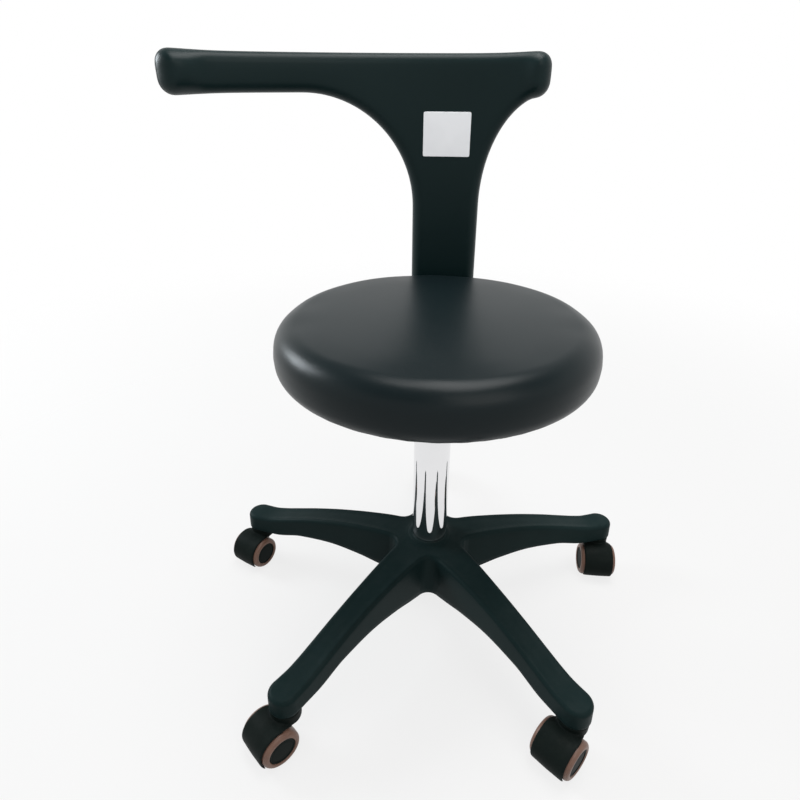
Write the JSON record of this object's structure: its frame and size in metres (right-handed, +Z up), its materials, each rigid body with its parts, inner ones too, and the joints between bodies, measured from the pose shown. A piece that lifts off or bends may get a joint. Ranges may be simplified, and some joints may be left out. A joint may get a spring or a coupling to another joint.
{
  "type": "dentist stool",
  "caption": "Round padded stool on a gas lift and a star-shaped castor base, with a T-shaped back whose long arm swings round the seat.",
  "frame": {"origin": "on the floor, under the middle of the whole stool as it stands at rest; the lift column's axis stands at x = 18.5 mm, y = -29 mm", "axes": "+Z up; the sitter faces -Y, the back's stem stands on the +Y side of the seat and its long arm reaches towards -X"},
  "size_m": [0.6559, 0.6426, 0.7573],
  "materials": {
    "nylon": "moulded, fine texture",
    "nylon_castor": "moulded",
    "tread": "satin",
    "chrome": "polished",
    "steel": "bright",
    "black_steel": "satin powder coat",
    "brass": "bright",
    "acetal": "natural",
    "black_plastic": "moulded",
    "rubber": "matt",
    "leather": "fine grain",
    "skin_foam": "self-skinned foam",
    "foam": "open cell",
    "board": "plywood",
    "lining": "non-woven",
    "plate": "brushed"
  },
  "bodies": {
    "base": {"star_base": "nylon", "column_tube": "chrome", "guide_bush": "black_plastic", "caster_stems": "steel", "ball_cage": "brass"},
    "piston": {"piston_rod": "steel", "bearing_race": "steel", "rubber_buffer": "rubber", "rod_clip": "steel"},
    "seat": {"gas_cylinder": "black_steel", "taper_socket": "black_steel", "mechanism_pan": "black_steel", "seat_board": "board", "seat_foam": "foam", "seat_cover": "leather", "dust_cover": "lining", "seat_bolts": "steel", "tee_nuts": "steel", "lever_pivot": "steel", "collar_circlip": "steel"},
    "valve": {"valve_pin": "steel"},
    "lever": {"lever_rod": "black_steel", "lever_grip": "black_plastic"},
    "back": {"arm_collar": "black_steel", "collar_bush": "acetal", "arm_bar": "black_steel", "back_frame": "steel", "back_pad": "skin_foam", "back_bolts": "steel", "blank_plate": "plate"},
    "caster_1": {"caster_1_hood": "nylon_castor", "caster_1_axle": "steel"},
    "caster_1_roller_a": {"caster_1_wheel_a": "nylon_castor", "caster_1_tread_a": "tread"},
    "caster_1_roller_b": {"caster_1_wheel_b": "nylon_castor", "caster_1_tread_b": "tread"},
    "caster_2": {"caster_2_hood": "nylon_castor", "caster_2_axle": "steel"},
    "caster_2_roller_a": {"caster_2_wheel_a": "nylon_castor", "caster_2_tread_a": "tread"},
    "caster_2_roller_b": {"caster_2_wheel_b": "nylon_castor", "caster_2_tread_b": "tread"},
    "caster_3": {"caster_3_hood": "nylon_castor", "caster_3_axle": "steel"},
    "caster_3_roller_a": {"caster_3_wheel_a": "nylon_castor", "caster_3_tread_a": "tread"},
    "caster_3_roller_b": {"caster_3_wheel_b": "nylon_castor", "caster_3_tread_b": "tread"},
    "caster_4": {"caster_4_hood": "nylon_castor", "caster_4_axle": "steel"},
    "caster_4_roller_a": {"caster_4_wheel_a": "nylon_castor", "caster_4_tread_a": "tread"},
    "caster_4_roller_b": {"caster_4_wheel_b": "nylon_castor", "caster_4_tread_b": "tread"},
    "caster_5": {"caster_5_hood": "nylon_castor", "caster_5_axle": "steel"},
    "caster_5_roller_a": {"caster_5_wheel_a": "nylon_castor", "caster_5_tread_a": "tread"},
    "caster_5_roller_b": {"caster_5_wheel_b": "nylon_castor", "caster_5_tread_b": "tread"}
  },
  "joints": [
    {"name": "seat_swivel", "type": "hinge", "parent": "base", "child": "piston", "pos_m": [0.0185, -0.029, 0.0675], "axis": [0, 0, 1], "continuous": true},
    {"name": "seat_lift", "type": "slide", "parent": "piston", "child": "seat", "axis": [0, 0, 1], "range_m": [0, 0.125]},
    {"name": "lever_lift", "type": "hinge", "parent": "seat", "child": "lever", "pos_m": [-0.0165, -0.029, 0.3895], "axis": [0, 1, 0], "range_deg": [0, 5], "stiffness_Nm_per_rad": 1, "springref_deg": -11.46},
    {"name": "valve_press", "type": "slide", "parent": "seat", "child": "valve", "axis": [0, 0, -1], "range_m": [0, 0.0036]},
    {"name": "back_swing", "type": "hinge", "parent": "seat", "child": "back", "pos_m": [0.0185, -0.029, 0.34], "axis": [0, 0, 1], "continuous": true},
    {"name": "caster_1_swivel", "type": "hinge", "parent": "base", "child": "caster_1", "pos_m": [0.0185, 0.265, 0.05], "axis": [0, 0, 1], "continuous": true},
    {"name": "caster_1_roll_a", "type": "hinge", "parent": "caster_1", "child": "caster_1_roller_a", "pos_m": [0.0305, 0.28579, 0.025], "axis": [0.866, -0.5, 0], "continuous": true},
    {"name": "caster_1_roll_b", "type": "hinge", "parent": "caster_1", "child": "caster_1_roller_b", "pos_m": [0.0305, 0.28579, 0.025], "axis": [0.866, -0.5, 0], "continuous": true},
    {"name": "caster_2_swivel", "type": "hinge", "parent": "base", "child": "caster_2", "pos_m": [-0.26111, 0.06185, 0.05], "axis": [0, 0, 1], "continuous": true},
    {"name": "caster_2_roll_a", "type": "hinge", "parent": "caster_2", "child": "caster_2_roller_a", "pos_m": [-0.27347, 0.04128, 0.025], "axis": [-0.8572, 0.515, 0], "continuous": true},
    {"name": "caster_2_roll_b", "type": "hinge", "parent": "caster_2", "child": "caster_2_roller_b", "pos_m": [-0.27347, 0.04128, 0.025], "axis": [-0.8572, 0.515, 0], "continuous": true},
    {"name": "caster_3_swivel", "type": "hinge", "parent": "base", "child": "caster_3", "pos_m": [-0.15431, -0.26685, 0.05], "axis": [0, 0, 1], "continuous": true},
    {"name": "caster_3_roll_a", "type": "hinge", "parent": "caster_3", "child": "caster_3_roller_a", "pos_m": [-0.17157, -0.28352, 0.025], "axis": [-0.6947, 0.7193, 0], "continuous": true},
    {"name": "caster_3_roll_b", "type": "hinge", "parent": "caster_3", "child": "caster_3_roller_b", "pos_m": [-0.17157, -0.28352, 0.025], "axis": [-0.6947, 0.7193, 0], "continuous": true},
    {"name": "caster_4_swivel", "type": "hinge", "parent": "base", "child": "caster_4", "pos_m": [0.19131, -0.26685, 0.05], "axis": [0, 0, 1], "continuous": true},
    {"name": "caster_4_roll_a", "type": "hinge", "parent": "caster_4", "child": "caster_4_roller_a", "pos_m": [0.17464, -0.28412, 0.025], "axis": [-0.7193, 0.6947, 0], "continuous": true},
    {"name": "caster_4_roll_b", "type": "hinge", "parent": "caster_4", "child": "caster_4_roller_b", "pos_m": [0.17464, -0.28412, 0.025], "axis": [-0.7193, 0.6947, 0], "continuous": true},
    {"name": "caster_5_swivel", "type": "hinge", "parent": "base", "child": "caster_5", "pos_m": [0.29811, 0.06185, 0.05], "axis": [0, 0, 1], "continuous": true},
    {"name": "caster_5_roll_a", "type": "hinge", "parent": "caster_5", "child": "caster_5_roller_a", "pos_m": [0.29685, 0.03788, 0.025], "axis": [-0.9986, 0.0523, 0], "continuous": true},
    {"name": "caster_5_roll_b", "type": "hinge", "parent": "caster_5", "child": "caster_5_roller_b", "pos_m": [0.29685, 0.03788, 0.025], "axis": [-0.9986, 0.0523, 0], "continuous": true}
  ],
  "couplings": [
    {"joint": "valve_press", "follows": "lever_lift", "m_per_rad": 0.04}
  ]
}
